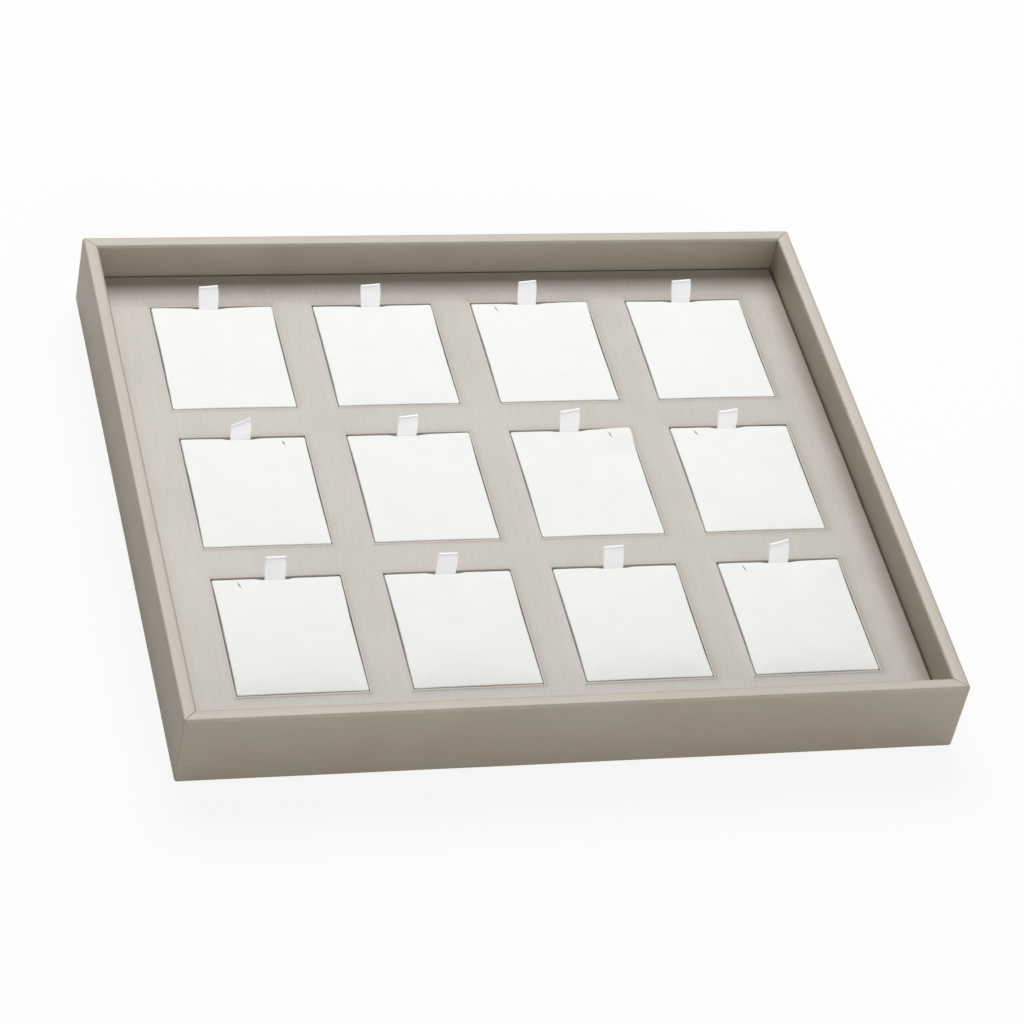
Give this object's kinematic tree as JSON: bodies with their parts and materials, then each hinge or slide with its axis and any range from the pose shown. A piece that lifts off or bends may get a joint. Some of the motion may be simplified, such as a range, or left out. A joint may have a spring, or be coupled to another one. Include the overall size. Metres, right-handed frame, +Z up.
{
  "type": "jewelry tray",
  "caption": "Shallow rectangular leatherette jewelry tray whose padded insert holds a grid of lift-out earring pads, each with a ribbon pull tab.",
  "frame": {"origin": "centre of the underside, on the surface that the tray stands on", "axes": "+X across the width to the right, +Y to the back, where the tabs of the pads are, +Z up"},
  "size_m": [0.23, 0.205, 0.025],
  "materials": {
    "mdf": "raw fibreboard",
    "taupe_leatherette": "brushed, satin",
    "felt": "pressed felt",
    "eva_foam": "cut foam",
    "greyboard": "pressed board",
    "sponge": "open foam",
    "white_leatherette": "soft satin",
    "satin_ribbon": "satin weave"
  },
  "bodies": {
    "tray": {"front_wall": "mdf", "front_wall_cover": "taupe_leatherette", "back_wall": "mdf", "back_wall_cover": "taupe_leatherette", "left_wall": "mdf", "left_wall_cover": "taupe_leatherette", "right_wall": "mdf", "right_wall_cover": "taupe_leatherette", "base_board": "mdf", "bottom_lining": "felt", "insert_block": "eva_foam", "insert_cover": "taupe_leatherette"},
    "pad_a1": {"pad_a1_board": "greyboard", "pad_a1_foam": "sponge", "pad_a1_cover": "white_leatherette", "pad_a1_tab": "satin_ribbon"},
    "pad_a2": {"pad_a2_board": "greyboard", "pad_a2_foam": "sponge", "pad_a2_cover": "white_leatherette", "pad_a2_tab": "satin_ribbon"},
    "pad_a3": {"pad_a3_board": "greyboard", "pad_a3_foam": "sponge", "pad_a3_cover": "white_leatherette", "pad_a3_tab": "satin_ribbon"},
    "pad_a4": {"pad_a4_board": "greyboard", "pad_a4_foam": "sponge", "pad_a4_cover": "white_leatherette", "pad_a4_tab": "satin_ribbon"},
    "pad_b1": {"pad_b1_board": "greyboard", "pad_b1_foam": "sponge", "pad_b1_cover": "white_leatherette", "pad_b1_tab": "satin_ribbon"},
    "pad_b2": {"pad_b2_board": "greyboard", "pad_b2_foam": "sponge", "pad_b2_cover": "white_leatherette", "pad_b2_tab": "satin_ribbon"},
    "pad_b3": {"pad_b3_board": "greyboard", "pad_b3_foam": "sponge", "pad_b3_cover": "white_leatherette", "pad_b3_tab": "satin_ribbon"},
    "pad_b4": {"pad_b4_board": "greyboard", "pad_b4_foam": "sponge", "pad_b4_cover": "white_leatherette", "pad_b4_tab": "satin_ribbon"},
    "pad_c1": {"pad_c1_board": "greyboard", "pad_c1_foam": "sponge", "pad_c1_cover": "white_leatherette", "pad_c1_tab": "satin_ribbon"},
    "pad_c2": {"pad_c2_board": "greyboard", "pad_c2_foam": "sponge", "pad_c2_cover": "white_leatherette", "pad_c2_tab": "satin_ribbon"},
    "pad_c3": {"pad_c3_board": "greyboard", "pad_c3_foam": "sponge", "pad_c3_cover": "white_leatherette", "pad_c3_tab": "satin_ribbon"},
    "pad_c4": {"pad_c4_board": "greyboard", "pad_c4_foam": "sponge", "pad_c4_cover": "white_leatherette", "pad_c4_tab": "satin_ribbon"}
  },
  "joints": [
    {"name": "pad_a1_lift", "type": "slide", "parent": "tray", "child": "pad_a1", "axis": [0, 0, 1], "range_m": [0, 0.03]},
    {"name": "pad_a2_lift", "type": "slide", "parent": "tray", "child": "pad_a2", "axis": [0, 0, 1], "range_m": [0, 0.03]},
    {"name": "pad_a3_lift", "type": "slide", "parent": "tray", "child": "pad_a3", "axis": [0, 0, 1], "range_m": [0, 0.03]},
    {"name": "pad_a4_lift", "type": "slide", "parent": "tray", "child": "pad_a4", "axis": [0, 0, 1], "range_m": [0, 0.03]},
    {"name": "pad_b1_lift", "type": "slide", "parent": "tray", "child": "pad_b1", "axis": [0, 0, 1], "range_m": [0, 0.03]},
    {"name": "pad_b2_lift", "type": "slide", "parent": "tray", "child": "pad_b2", "axis": [0, 0, 1], "range_m": [0, 0.03]},
    {"name": "pad_b3_lift", "type": "slide", "parent": "tray", "child": "pad_b3", "axis": [0, 0, 1], "range_m": [0, 0.03]},
    {"name": "pad_b4_lift", "type": "slide", "parent": "tray", "child": "pad_b4", "axis": [0, 0, 1], "range_m": [0, 0.03]},
    {"name": "pad_c1_lift", "type": "slide", "parent": "tray", "child": "pad_c1", "axis": [0, 0, 1], "range_m": [0, 0.03]},
    {"name": "pad_c2_lift", "type": "slide", "parent": "tray", "child": "pad_c2", "axis": [0, 0, 1], "range_m": [0, 0.03]},
    {"name": "pad_c3_lift", "type": "slide", "parent": "tray", "child": "pad_c3", "axis": [0, 0, 1], "range_m": [0, 0.03]},
    {"name": "pad_c4_lift", "type": "slide", "parent": "tray", "child": "pad_c4", "axis": [0, 0, 1], "range_m": [0, 0.03]}
  ]
}
